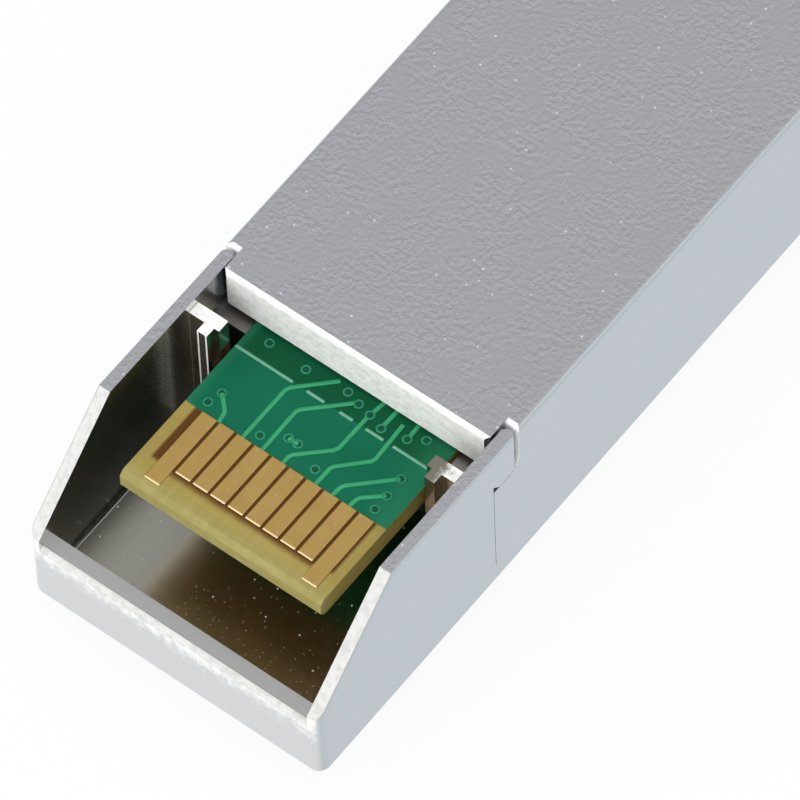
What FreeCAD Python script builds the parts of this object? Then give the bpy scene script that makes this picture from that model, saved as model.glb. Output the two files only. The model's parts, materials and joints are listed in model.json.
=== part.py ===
"""SFP plus transceiver as a parametric FreeCAD document.

The module lies on its label side with the latch side up, as in the photograph. Every sub-part is
drawn in module coordinates: x across, y from the rear end towards the nose, z up from the face
the body lies on. Placements then move the whole to the middle of its bounding box, on the floor.
"""

import math
import os
from types import SimpleNamespace

import FreeCAD
import Part
import Sketcher

# Driving dimensions in millimetres, by the name they have in the spreadsheet.
DIMENSIONS = {
    # Envelope
    "body_width": 13.4,
    "body_height": 8.6,
    "insert_length": 47.5,
    "nose_length": 9.0,
    "nose_flare": 0.25,
    "nose_wall": 0.7,
    "nose_rise": 0.7,
    "nose_drop": 0.8,
    "beam_length": 3.2,
    "fit_gap": 0.05,
    "seam": 0.02,
    # Cover with the rear skirt
    "cover_thickness": 1.26,
    "skirt_wall": 0.55,
    "skirt_length": 10.43,
    "skirt_drop": 0.1,
    "slope_fall": 4.5,
    "lip_fall": 5.1,
    "lip_thickness": 0.81,
    "lip_round": 0.24,
    "wall_soft": 0.12,
    "tab_tip": 0.2,
    "floor_round": 0.15,
    "tab_reach": 1.45,
    "tab_fall": 2.32,
    "tab_notch": 0.35,
    "tab_gap": 0.12,
    "tab_round": 0.6,
    "post_setback": 1.36,
    "post_bar": 0.55,
    "post_gap": 0.15,
    "post_stem": 0.45,
    "post_drop": 0.4,
    "corner_round": 0.5,
    "rim_round": 0.45,
    "edge_round": 0.22,
    # Main housing
    "housing_wall": 1.0,
    "plate_thickness": 1.5,
    "ledge_width": 0.8,
    "tongue_setback": 0.54,
    "tongue_corner": 0.18,
    "tongue_margin": 0.08,
    "tongue_gap": 0.13,
    "guide_gap": 0.1,
    "guide_length": 0.2,
    "cavity_stop": 7.0,
    # Cover screw and its column
    "screw_setback": 10.7,
    "screw_radius": 0.8,
    "screw_length": 4.0,
    "head_flare": 0.65,
    "column_radius": 1.2,
    # Circuit board and card edge
    "board_depth": 2.13,
    "board_thickness": 1.0,
    "board_end": 2.94,
    "board_setback": 9.5,
    "board_margin": 0.3,
    "card_width": 9.2,
    "card_gap": 0.13,
    "board_bevel": 0.22,
    "contact_pitch": 0.8,
    "contact_width": 0.68,
    "contact_height": 0.05,
    "contact_shift": 0.15,
    "contact_inner": 6.79,
    "contact_long": 0.4,
    "contact_short": 1.2,
    # Parts on the board
    "driver_side": 5.0,
    "amplifier_side": 3.0,
    "controller_side": 5.0,
    "controller_x": -1.0,
    "chip_height": 0.85,
    "thermal_thickness": 0.5,
    "inductor_length": 1.6,
    "inductor_width": 0.9,
    "passive_length": 1.0,
    "passive_width": 0.5,
    "capacitor_height": 0.5,
    "resistor_height": 0.35,
    # Fibre ports and optical sub-assemblies
    "port_web": 1.35,
    "port_height": 4.9,
    "port_wall": 0.425,
    "port_roof": 0.2,
    "port_back": 0.7,
    "slot_mouth": 1.0,
    "slot_wall": 0.3,
    "slot_depth": 1.05,
    "slot_catch": 2.9,
    "receptacle_tail": 1.5,
    "sleeve_radius": 1.25,
    "sleeve_bore": 0.6265,
    "sleeve_tip": 4.5,
    "bore_depth": 5.0,
    "bore_mouth": 0.15,
    "can_room": 0.2,
    "can_step": 0.25,
    "can_header": 1.2,
    "can_flange": 0.8,
    "can_length": 5.8,
    "can_setback": 2.3,
    "flex_thickness": 0.12,
    "flex_margin": 0.325,
    "flex_bend": 0.5,
    "flex_reach": 2.4,
    "shield_thickness": 0.3,
    # Spring collar
    "collar_sheet": 0.12,
    "collar_band": 1.8,
    "collar_setback": 0.1,
    "collar_window": 2.5,
    "finger_length": 4.6,
    "finger_bulge": 0.5,
    "finger_width": 1.5,
    "finger_pitch": 2.0,
    # Bail, shaft and cam
    "shaft_setback": 1.6,
    "shaft_rise": 1.35,
    "shaft_radius": 0.4,
    "shaft_play": 0.05,
    "arm_gap": 0.1,
    "arm_thickness": 0.7,
    "arm_half_width": 0.9,
    "bar_height": 0.5,
    "bar_depth": 1.6,
    "grip_gap": 0.1,
    "grip_wall": 0.2,
    "grip_margin": 0.95,
    "grip_round": 0.3,
    "cam_throw": 0.5,
    "cam_radius": 0.92,
    "cam_width": 3.4,
    "cam_gap": 0.06,
    # Latch rocker
    "latch_setback": 2.5,
    "boss_height": 0.45,
    "boss_length": 2.5,
    "boss_flat": 0.6,
    "boss_width": 2.6,
    "rocker_width": 4.2,
    "rocker_rear": 2.7,
    "rocker_sink": 0.1,
    "rocker_thickness": 0.65,
    "channel_gap": 0.15,
    "channel_rear": 0.5,
    "channel_step": 0.355,
    "pivot_offset": 1.7,
    "pivot_drop": 0.165,
    "pivot_radius": 0.5,
    "pivot_play": 0.03,
    "hub_wall": 0.25,
    "spring_sheet": 0.12,
    "spring_width": 3.0,
}

CONTACTS = 10
PASSIVES = 8
INDUCTORS = 2
SIDE_FINGERS = 3
TOP_FINGERS = 2
LABEL_FINGERS = 5


class Size:
    """A length together with the spreadsheet formula that gives it."""

    def __init__(self, value, formula):
        self.value = value
        self.formula = formula

    def joined(self, sign, value, other):
        return Size(value, "(" + self.formula + " " + sign + " " + other.formula + ")")

    def __add__(self, other):
        other = as_size(other)
        return self.joined("+", self.value + other.value, other)

    def __sub__(self, other):
        other = as_size(other)
        return self.joined("-", self.value - other.value, other)

    def __mul__(self, other):
        other = as_size(other)
        return self.joined("*", self.value * other.value, other)

    def __truediv__(self, other):
        other = as_size(other)
        return self.joined("/", self.value / other.value, other)

    def __neg__(self):
        return Size(-self.value, "(0 - " + self.formula + ")")


def as_size(number):
    """Turns a plain number into a Size and leaves a Size as it is."""
    if isinstance(number, Size):
        return number
    return Size(float(number), "(" + repr(float(number)) + ")")


def least(first, second):
    """The smaller of two lengths."""
    formula = "min(" + first.formula + "; " + second.formula + ")"
    return Size(min(first.value, second.value), formula)


doc = FreeCAD.newDocument("transceiver")
sheet = doc.addObject("Spreadsheet::Sheet", "Dims")
for row, (name, number) in enumerate(DIMENSIONS.items(), 1):
    sheet.set("A" + str(row), name)
    sheet.set("B" + str(row), str(number))
    sheet.setAlias("B" + str(row), name)
doc.recompute()
d = SimpleNamespace(**{name: Size(number, "Dims." + name) for name, number in DIMENSIONS.items()})

# Levels and positions that several sub-parts share.
half_body = d.body_width / 2
nose_width = d.body_width + d.nose_flare * 2
nose_front = d.insert_length + d.nose_length
nose_top = d.body_height + d.nose_rise
cheek_end = nose_front - d.beam_length
grip_depth = d.bar_depth + d.grip_wall * 2
overall_length = nose_front + d.grip_gap + grip_depth
skirt_inner = half_body - d.skirt_wall
skirt_top = d.body_height - d.skirt_drop
slope_start = skirt_top - d.slope_fall
lip_height = d.body_height - d.lip_fall
tab_end = d.skirt_length + d.tab_reach
tab_low = d.body_height - d.tab_fall
wall_start = d.skirt_length + d.seam
shoulder = tab_end + d.tab_gap
tongue_y = d.skirt_length + d.tongue_setback
guide_end = shoulder + d.guide_length
screw_y = d.insert_length - d.screw_setback

half_card = d.card_width / 2
card_end = guide_end + d.card_gap
board_front = d.insert_length - d.board_setback
board_run = board_front - card_end
board_top = d.body_height - d.board_depth
board_low = board_top - d.board_thickness
chip_low = board_low - d.chip_height
plate_low = d.body_height - d.plate_thickness
cavity_half = half_body - d.housing_wall
half_board = cavity_half - d.board_margin
driver_x = half_board - d.driver_side * 0.6
driver_y = card_end + board_run * 0.575
amplifier_x = d.amplifier_side - half_board
amplifier_y = card_end + board_run * 0.76
controller_y = card_end + board_run * 0.26
passive_y = card_end + board_run * 0.44
passive_pitch = board_run * 0.058

receptacle_half = half_body - d.nose_wall
port_width = receptacle_half - d.port_wall - d.port_web / 2
port_x = (port_width + d.port_web) / 2
port_z = (board_top + d.cover_thickness) / 2
port_low = port_z - d.port_height / 2
port_high = port_z + d.port_height / 2
receptacle_top = port_high + d.port_roof
nose_half = receptacle_half + d.fit_gap
nose_ceiling = receptacle_top + d.fit_gap
cavity_room = (board_top - d.cover_thickness) / 2
can_radius = least(port_width / 2, cavity_room) - d.can_room
can_neck = can_radius - d.can_step
can_front = d.insert_length - d.can_setback
can_rear = can_front - d.can_length
flex_width = (port_x - d.column_radius - d.flex_margin) * 2

latch_shoulder = d.insert_length - d.latch_setback
channel_half = d.rocker_width / 2 + d.channel_gap
channel_floor = nose_ceiling + d.channel_step
shaft_y = nose_front - d.shaft_setback
shaft_z = nose_ceiling + d.shaft_rise
pivot_y = d.insert_length + d.pivot_offset
pivot_z = shaft_z - d.pivot_drop
arm_inner = nose_half + d.arm_gap
arm_outer = arm_inner + d.arm_thickness
bar_rear = nose_front + d.grip_gap + d.grip_wall
bar_front = bar_rear + d.bar_depth
bar_low = d.fit_gap + d.grip_wall - d.nose_drop
bar_top = bar_low + d.bar_height
cam_drop = d.cam_throw / math.sqrt(2)
rocker_low_front = shaft_z + d.cam_radius - cam_drop + d.cam_gap

sub_parts = []


def place(item, x=0, y=0, z=0):
    """Binds a placement given in module coordinates."""
    item.setExpression("Placement.Base.x", as_size(x).formula)
    item.setExpression("Placement.Base.y", (as_size(y) - overall_length / 2).formula)
    item.setExpression("Placement.Base.z", (as_size(z) + d.nose_drop).formula)


def keep(item, label):
    """Labels a finished sub-part, which is then written to a file of that name."""
    item.Label = label
    sub_parts.append(item)
    return item


def new_body(label):
    """Starts a sub-part that is made of sketches and features."""
    body = doc.addObject("PartDesign::Body", label)
    place(body)
    return keep(body, label)


def new_sketch(body, plane, offset=0):
    """Adds a sketch on one of the body's own planes, moved along that plane's normal."""
    origin_plane = next(item for item in body.Origin.OriginFeatures if item.Role == plane + "_Plane")
    sketch = body.newObject("Sketcher::SketchObject", body.Name + "_sketch")
    sketch.AttachmentSupport = [(origin_plane, "")]
    sketch.MapMode = "FlatFace"
    sketch.setExpression("AttachmentOffset.Base.z", as_size(offset).formula)
    return sketch


def bind(sketch, kind, where, size):
    """Adds one constraint whose value follows a formula."""
    size = as_size(size)
    index = sketch.addConstraint(Sketcher.Constraint(kind, *where, size.value))
    sketch.setExpression("Constraints[" + str(index) + "]", size.formula)


def arc_middle(start, stop, radius):
    """Middle of the arc between two points; the centre lies left of the way for radius over 0."""
    chord = stop - start
    left = FreeCAD.Vector(-chord.y, chord.x, 0).normalize()
    rise = abs(radius) - math.sqrt(max(radius * radius - chord.Length ** 2 / 4, 0))
    return (start + stop) / 2 - left * math.copysign(rise, radius)


def outline(sketch, points):
    """Draws a closed outline. A third entry bends the side that starts at that point."""
    points = [tuple(as_size(entry) for entry in point) for point in points]
    corners = [FreeCAD.Vector(point[0].value, point[1].value, 0) for point in points]
    first = sketch.GeometryCount
    ends = []
    for index, point in enumerate(points):
        start = corners[index]
        stop = corners[(index + 1) % len(points)]
        if len(point) == 2:
            sketch.addGeometry(Part.LineSegment(start, stop), False)
            ends.append((1, 2))
            continue
        sketch.addGeometry(Part.Arc(start, arc_middle(start, stop, point[2].value), stop), False)
        ends.append((1, 2) if point[2].value > 0 else (2, 1))
    for index, point in enumerate(points):
        follower = (index + 1) % len(points)
        joint = (first + index, ends[index][1], first + follower, ends[follower][0])
        sketch.addConstraint(Sketcher.Constraint("Coincident", *joint))
    for index, point in enumerate(points):
        corner = (-1, 1, first + index, ends[index][0])
        bind(sketch, "DistanceX", corner, point[0])
        bind(sketch, "DistanceY", corner, point[1])
        if len(point) == 3:
            radius = point[2] if point[2].value > 0 else -point[2]
            bind(sketch, "Radius", (first + index,), radius)


def rectangle(sketch, left, right, low, high):
    outline(sketch, [(left, low), (right, low), (right, high), (left, high)])


def circle(sketch, x, y, radius):
    index = sketch.GeometryCount
    centre = FreeCAD.Vector(as_size(x).value, as_size(y).value, 0)
    sketch.addGeometry(Part.Circle(centre, FreeCAD.Vector(0, 0, 1), as_size(radius).value), False)
    bind(sketch, "DistanceX", (-1, 1, index, 3), x)
    bind(sketch, "DistanceY", (-1, 1, index, 3), y)
    bind(sketch, "Radius", (index,), radius)


def pad(body, sketch, length, symmetric=False):
    feature = body.newObject("PartDesign::Pad", body.Name + "_pad")
    feature.Profile = sketch
    feature.SideType = "Symmetric" if symmetric else "One side"
    feature.setExpression("Length", as_size(length).formula)
    sketch.Visibility = False
    doc.recompute()
    return feature


def pocket(body, sketch, length=None, upwards=False):
    """Cuts a sketch to a depth, or right through both ways when no depth is given."""
    feature = body.newObject("PartDesign::Pocket", body.Name + "_pocket")
    feature.Profile = sketch
    volume = body.Shape.Volume
    if length is None:
        feature.Type = "ThroughAll"
        feature.SideType = "Symmetric"
    else:
        feature.Reversed = upwards
        feature.setExpression("Length", as_size(length).formula)
    sketch.Visibility = False
    doc.recompute()
    if body.Shape.Volume >= volume:
        raise RuntimeError(feature.Name + " cuts nothing")
    return feature


def turn(body, sketch):
    """Turns a profile about its sketch's vertical axis."""
    feature = body.newObject("PartDesign::Revolution", body.Name + "_turn")
    feature.Profile = sketch
    feature.ReferenceAxis = (sketch, ["V_Axis"])
    feature.Angle = 360
    doc.recompute()
    return feature


def edges_where(body, chosen):
    """Names the edges of a body's last feature whose ends pass a test, in module coordinates."""
    names = []
    for number, edge in enumerate(body.Tip.Shape.Edges, 1):
        if all(chosen(vertex.Point) for vertex in edge.Vertexes):
            names.append("Edge" + str(number))
    return names


def near(value, size):
    return abs(value - as_size(size).value) < 0.001


def dress(body, kind, names, size):
    """Rounds or bevels named edges; kind is Fillet or Chamfer."""
    feature = body.newObject("PartDesign::" + kind, body.Name + "_" + kind.lower())
    feature.Base = (feature.BaseFeature, names)
    feature.setExpression("Radius" if kind == "Fillet" else "Size", as_size(size).formula)
    doc.recompute()
    return feature


def repeat(body, original, sketch, count, span):
    """Repeats a feature along the normal of its sketch."""
    feature = body.newObject("PartDesign::LinearPattern", body.Name + "_row")
    feature.Originals = [original]
    feature.Direction = (sketch, ["N_Axis"])
    feature.Occurrences = count
    feature.setExpression("Length", as_size(span).formula)
    body.Tip = feature
    doc.recompute()
    return feature


def block(name, centre, size):
    """A box given by the middle of its footprint, its lowest level and its three sizes."""
    box = doc.addObject("Part::Box", name)
    for side, length in zip(("Length", "Width", "Height"), size):
        box.setExpression(side, as_size(length).formula)
    place(box, centre[0] - as_size(size[0]) / 2, centre[1] - as_size(size[1]) / 2, centre[2])
    return box


def rod(name, y, z, radius, length, x=0):
    """A cylinder along x with its middle at the given point."""
    cylinder = doc.addObject("Part::Cylinder", name)
    cylinder.Placement.Rotation = FreeCAD.Rotation(FreeCAD.Vector(0, 1, 0), 90)
    cylinder.setExpression("Radius", as_size(radius).formula)
    cylinder.setExpression("Height", as_size(length).formula)
    place(cylinder, as_size(x) - as_size(length) / 2, y, z)
    return cylinder


def group(label, members):
    """Several equal pieces that share one file."""
    compound = doc.addObject("Part::Compound", label)
    compound.Links = members
    return keep(compound, label)


def cut(label, base, tool):
    result = doc.addObject("Part::Cut", label)
    result.Base = base
    result.Tool = tool
    return keep(result, label)


def make_skirt_cover():
    """Lower plate with the rear skirt: lip, sloped walls, tabs and locating posts."""
    body = new_body("skirt_cover")
    sketch = new_sketch(body, "XY")
    rectangle(sketch, -half_body, half_body, 0, d.insert_length)
    pad(body, sketch, d.cover_thickness)

    sketch = new_sketch(body, "YZ")
    outline(sketch, [
        (0, 0),
        (0, slope_start),
        (d.slope_fall, skirt_top),
        (tab_end, skirt_top),
        (tab_end, tab_low),
        (d.skirt_length + d.tab_notch, tab_low),
        (d.skirt_length, tab_low + d.tab_notch),
        (d.skirt_length, 0),
    ])
    pad(body, sketch, d.body_width, symmetric=True)

    sketch = new_sketch(body, "XY", d.cover_thickness)
    rectangle(sketch, -skirt_inner, skirt_inner, d.lip_thickness, tab_end + 1)
    pocket(body, sketch, d.body_height, upwards=True)
    sketch = new_sketch(body, "XY", lip_height)
    rectangle(sketch, -skirt_inner, skirt_inner, -1, d.lip_thickness + 1)
    pocket(body, sketch, d.body_height, upwards=True)

    foot = edges_where(body, lambda p: near(abs(p.x), skirt_inner) and near(p.z, d.cover_thickness))
    dress(body, "Fillet", foot, d.floor_round)
    lip = edges_where(body, lambda p: near(p.y, 0) and near(p.z, lip_height))
    dress(body, "Fillet", lip, d.lip_round)

    # T-shaped posts that locate the board's card edge between the skirt walls.
    post_tip = half_card + d.post_gap
    post_y = d.skirt_length - d.post_setback
    stem_tip = post_y - d.post_stem
    post_reach = skirt_inner - post_tip
    for side in (-1, 1):
        sketch = new_sketch(body, "XY", d.cover_thickness / 2)
        outline(sketch, [
            ((skirt_inner + d.skirt_wall / 2) * side, post_y),
            ((post_tip + post_reach * 0.48) * side, post_y),
            ((post_tip + post_reach * 0.48) * side, stem_tip),
            ((post_tip + post_reach * 0.16) * side, stem_tip),
            ((post_tip + post_reach * 0.16) * side, post_y),
            (post_tip * side, post_y),
            (post_tip * side, post_y + d.post_bar),
            ((skirt_inner + d.skirt_wall / 2) * side, post_y + d.post_bar),
        ])
        pad(body, sketch, skirt_top - d.post_drop - d.cover_thickness / 2)

    # Pillars under the board and the pedestal under the thermal pad.
    sketch = new_sketch(body, "XY", d.cover_thickness / 2)
    for side in (-1, 1):
        circle(sketch, (half_board - 1) * side, card_end + 2, d.screw_radius)
    pad(body, sketch, board_low - d.cover_thickness / 2)
    sketch = new_sketch(body, "XY", d.cover_thickness / 2)
    half = d.driver_side / 2
    rectangle(sketch, driver_x - half, driver_x + half, driver_y - half, driver_y + half)
    pad(body, sketch, chip_low - d.thermal_thickness - d.cover_thickness / 2)

    sketch = new_sketch(body, "XY")
    circle(sketch, 0, screw_y, d.screw_radius + d.fit_gap)
    pocket(body, sketch)
    rim = edges_where(body, lambda p: near(p.z, 0) and abs(p.y - screw_y.value) < 1.5)
    dress(body, "Chamfer", rim, d.head_flare)

    tab_corner = edges_where(body, lambda p: near(p.y, tab_end) and near(p.z, tab_low))
    dress(body, "Fillet", tab_corner, d.tab_round)
    # The tab's tip tapers in plan on both faces.
    tip = d.tab_tip
    sketch = new_sketch(body, "XY", skirt_top)
    for side in (-1, 1):
        outline(sketch, [
            ((half_body + tip) * side, tab_end - tip * 2),
            ((half_body - tip) * side, tab_end),
            ((skirt_inner + tip) * side, tab_end),
            ((skirt_inner - tip) * side, tab_end - tip * 2),
            ((skirt_inner - tip) * side, tab_end + tip),
            ((half_body + tip) * side, tab_end + tip),
        ])
    pocket(body, sketch, d.tab_fall)
    rear = edges_where(body, lambda p: near(p.y, 0) and near(abs(p.x), half_body))
    dress(body, "Fillet", rear, d.corner_round)
    rim = edges_where(body, lambda p: near(p.z, 0) and (p.y < 1 or near(abs(p.x), half_body)))
    dress(body, "Fillet", rim, d.rim_round)
    outer = edges_where(body, lambda p: near(abs(p.x), half_body) and along_top(p))
    dress(body, "Fillet", outer, d.wall_soft)


def along_top(point):
    """True on the upper edge of a skirt wall, its slope included."""
    return near(point.z, skirt_top) or near(point.z - point.y, slope_start)


def make_main_housing():
    """Upper plate, side walls, board tongue and the nose frame with the latch channel."""
    body = new_body("main_housing")
    tab_floor = tab_low - d.seam
    sketch = new_sketch(body, "YZ")
    outline(sketch, [
        (wall_start, d.cover_thickness),
        (d.insert_length, d.cover_thickness),
        (d.insert_length, d.body_height),
        (shoulder, d.body_height),
        (shoulder, tab_floor),
        (wall_start, tab_floor),
    ])
    pad(body, sketch, d.body_width, symmetric=True)
    corner = edges_where(body, lambda p: near(p.y, shoulder) and near(p.z, tab_floor))
    dress(body, "Fillet", corner, d.tab_round)
    long_edges = edges_where(body, lambda p: near(abs(p.x), half_body) and near(p.z, d.body_height))
    dress(body, "Fillet", long_edges, d.edge_round)

    tongue_half = skirt_inner - d.tongue_margin
    tongue_low = board_top + d.tongue_gap
    sketch = new_sketch(body, "XY", tongue_low)
    outline(sketch, [
        (d.tongue_corner - tongue_half, tongue_y),
        (tongue_half - d.tongue_corner, tongue_y),
        (tongue_half, tongue_y + d.tongue_corner),
        (tongue_half, shoulder + d.housing_wall),
        (-tongue_half, shoulder + d.housing_wall),
        (-tongue_half, tongue_y + d.tongue_corner),
    ])
    pad(body, sketch, d.body_height - tongue_low)
    rim = edges_where(body, lambda p: near(p.y, tongue_y) and near(p.z, d.body_height))
    dress(body, "Fillet", rim, d.edge_round)

    # Nose: full width cheeks behind, narrower beam in front, room for the receptacle below it.
    sketch = new_sketch(body, "YZ")
    rectangle(sketch, d.insert_length, cheek_end, -d.nose_drop, nose_top)
    pad(body, sketch, nose_width, symmetric=True)
    cheeks = edges_where(body, lambda p: near(abs(p.x), nose_width / 2))
    dress(body, "Fillet", cheeks, d.edge_round)
    sketch = new_sketch(body, "YZ")
    rectangle(sketch, cheek_end - d.housing_wall, nose_front, nose_ceiling, nose_top)
    pad(body, sketch, nose_half * 2, symmetric=True)
    front = edges_where(body, lambda p: near(p.y, nose_front) and near(p.z, nose_top))
    dress(body, "Fillet", front, d.edge_round)
    sketch = new_sketch(body, "XY", -d.nose_drop)
    rectangle(sketch, -nose_half, nose_half, d.insert_length, nose_front + 1)
    pocket(body, sketch, nose_ceiling + d.nose_drop, upwards=True)

    # Board cavity, with guide walls beside the card edge, then ledges beside the board and a
    # higher ceiling between them.
    sketch = new_sketch(body, "XY")
    half_guide = half_card + d.guide_gap
    outline(sketch, [
        (-half_guide, wall_start - 1),
        (half_guide, wall_start - 1),
        (half_guide, guide_end),
        (cavity_half, guide_end),
        (cavity_half, d.insert_length + d.fit_gap),
        (-cavity_half, d.insert_length + d.fit_gap),
        (-cavity_half, guide_end),
        (-half_guide, guide_end),
    ])
    pocket(body, sketch, board_top, upwards=True)
    ledge_half = cavity_half - d.ledge_width
    sketch = new_sketch(body, "XY", board_top - d.fit_gap)
    cavity_end = d.insert_length - d.cavity_stop
    rectangle(sketch, -ledge_half, ledge_half, shoulder + d.housing_wall, cavity_end)
    pocket(body, sketch, plate_low - board_top + d.fit_gap, upwards=True)

    sketch = new_sketch(body, "XY", d.cover_thickness)
    circle(sketch, 0, screw_y, d.column_radius)
    pad(body, sketch, plate_low - d.cover_thickness + d.plate_thickness / 2)
    sketch = new_sketch(body, "XY", d.cover_thickness)
    circle(sketch, 0, screw_y, d.screw_radius)
    pocket(body, sketch, d.screw_length - d.cover_thickness + d.fit_gap, upwards=True)

    # Latch channel, shallow in the body and open down to the receptacle in the nose.
    channel_start = latch_shoulder - d.rocker_rear - d.channel_rear
    sketch = new_sketch(body, "XY", nose_top)
    rectangle(sketch, -channel_half, channel_half, channel_start, nose_front + 1)
    pocket(body, sketch, nose_top - channel_floor)
    sketch = new_sketch(body, "XY", nose_top)
    rectangle(sketch, -channel_half, channel_half, d.insert_length + d.channel_rear, nose_front + 1)
    pocket(body, sketch, nose_top - nose_ceiling + d.fit_gap)

    sketch = new_sketch(body, "YZ")
    circle(sketch, pivot_y, pivot_z, d.pivot_radius)
    circle(sketch, shaft_y, shaft_z, d.shaft_radius + d.shaft_play)
    pocket(body, sketch)


def make_cover_screw():
    """Countersunk screw that draws the cover against the column."""
    body = new_body("cover_screw")
    place(body, 0, screw_y, 0)
    head_radius = d.screw_radius + d.head_flare
    sketch = new_sketch(body, "XZ")
    outline(sketch, [
        (0, 0),
        (head_radius, 0),
        (d.screw_radius, d.head_flare),
        (d.screw_radius, d.screw_length),
        (0, d.screw_length),
    ])
    turn(body, sketch)
    # Cross recess in the head.
    arm = head_radius * 0.6
    half = head_radius * 0.12
    sketch = new_sketch(body, "XY")
    outline(sketch, [
        (-arm, -half), (-half, -half), (-half, -arm), (half, -arm), (half, -half), (arm, -half),
        (arm, half), (half, half), (half, arm), (-half, arm), (-half, half), (-arm, half),
    ])
    pocket(body, sketch, d.head_flare / 2, upwards=True)


def make_circuit_board():
    """Board with its card edge, and a notch at the front for the screw column."""
    body = new_body("circuit_board")
    notch_half = d.column_radius + d.fit_gap * 4
    notch_end = screw_y - notch_half
    sketch = new_sketch(body, "XY", board_low)
    outline(sketch, [
        (-half_card, d.board_end), (half_card, d.board_end), (half_card, card_end),
        (half_board, card_end), (half_board, board_front), (notch_half, board_front),
        (notch_half, notch_end), (-notch_half, notch_end), (-notch_half, board_front),
        (-half_board, board_front), (-half_board, card_end), (-half_card, card_end),
    ])
    pad(body, sketch, d.board_thickness)
    across = edges_where(body, lambda p: near(p.y, d.board_end))
    level = [name for name in across if is_level(body.Tip.Shape, name)]
    dress(body, "Chamfer", level, d.board_bevel)


def is_level(shape, name):
    """Whether an edge lies in a horizontal plane."""
    points = shape.getElement(name).Vertexes
    return near(points[0].Z, points[-1].Z)


def make_contacts(label, low, shift):
    """A row of card-edge contacts; the first and last are ground contacts and reach further."""
    members = []
    for index in range(CONTACTS):
        reach = d.contact_long if index in (0, CONTACTS - 1) else d.contact_short
        start = d.board_end + reach
        length = d.contact_inner - start
        x = d.contact_pitch * (index - (CONTACTS - 1) / 2) + shift
        size = (d.contact_width, length, d.contact_height)
        members.append(block(label + "_one", (x, start + length / 2, low), size))
    group(label, members)


def make_board_parts():
    """Chips and passives under the board, and the thermal pad under the driver chip."""
    chips = {
        "driver_chip": (driver_x, driver_y, d.driver_side),
        "amplifier_chip": (amplifier_x, amplifier_y, d.amplifier_side),
        "controller_chip": (d.controller_x, controller_y, d.controller_side),
    }
    for label, (x, y, side) in chips.items():
        keep(block(label, (x, y, chip_low), (side, side, d.chip_height)), label)
    pad_low = chip_low - d.thermal_thickness
    size = (d.driver_side, d.driver_side, d.thermal_thickness)
    keep(block("thermal_pad", (driver_x, driver_y, pad_low), size), "thermal_pad")

    outer = half_board - d.passive_length
    kinds = {
        "chip_capacitors": (-outer, d.capacitor_height),
        "chip_resistors": (d.passive_length * 1.3 - outer, d.resistor_height),
    }
    for label, (x, height) in kinds.items():
        size = (d.passive_length, d.passive_width, height)
        members = []
        for index in range(PASSIVES):
            y = passive_y + passive_pitch * index
            if label == "chip_resistors" and abs(y.value - amplifier_y.value) < d.amplifier_side.value:
                continue
            members.append(block(label + "_one", (x, y, board_low - height), size))
        group(label, members)
    members = []
    for index in range(INDUCTORS):
        y = controller_y + d.inductor_width * 2 * (index - 0.5)
        x = d.controller_x + d.controller_side / 2 + d.inductor_length
        size = (d.inductor_length, d.inductor_width, d.inductor_width)
        members.append(block("power_inductors_one", (x, y, board_low - d.inductor_width), size))
    group("power_inductors", members)


def make_optics(kind, side):
    """One optical sub-assembly: stepped can, ferrule sleeve and flexible circuit."""
    can = new_body(kind + "_can")
    place(can, port_x * side, can_rear, port_z)
    sketch = new_sketch(can, "XY")
    flange_start = d.can_length - d.can_flange
    outline(sketch, [
        (0, 0),
        (can_radius, 0),
        (can_radius, d.can_header),
        (can_neck, d.can_header),
        (can_neck, flange_start),
        (can_radius, flange_start),
        (can_radius, d.can_length),
        (0, d.can_length),
    ])
    turn(can, sketch)

    sleeve = new_body(kind + "_sleeve")
    place(sleeve, port_x * side, can_front, port_z)
    length = nose_front - d.sleeve_tip - can_front
    sketch = new_sketch(sleeve, "XY")
    outline(sketch, [
        (0, 0),
        (d.sleeve_radius, 0),
        (d.sleeve_radius, length),
        (d.sleeve_bore + d.bore_mouth, length),
        (d.sleeve_bore, length - d.bore_mouth),
        (d.sleeve_bore, length - d.bore_depth),
        (0, length - d.bore_depth),
    ])
    turn(sleeve, sketch)

    # The flexible circuit stands against the can, then bends back under the board.
    flex = new_body(kind + "_flex")
    place(flex, port_x * side, 0, 0)
    outer = can_rear
    inner = can_rear - d.flex_thickness
    sketch = new_sketch(flex, "YZ")
    outline(sketch, [
        (outer, port_z - flex_width / 2),
        (outer, board_low - d.flex_bend, d.flex_bend),
        (outer - d.flex_bend, board_low),
        (board_front - d.flex_reach, board_low),
        (board_front - d.flex_reach, board_low - d.flex_thickness),
        (outer - d.flex_bend, board_low - d.flex_thickness, d.flex_thickness - d.flex_bend),
        (inner, board_low - d.flex_bend),
        (inner, port_z - flex_width / 2),
    ])
    pad(flex, sketch, flex_width, symmetric=True)


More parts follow.
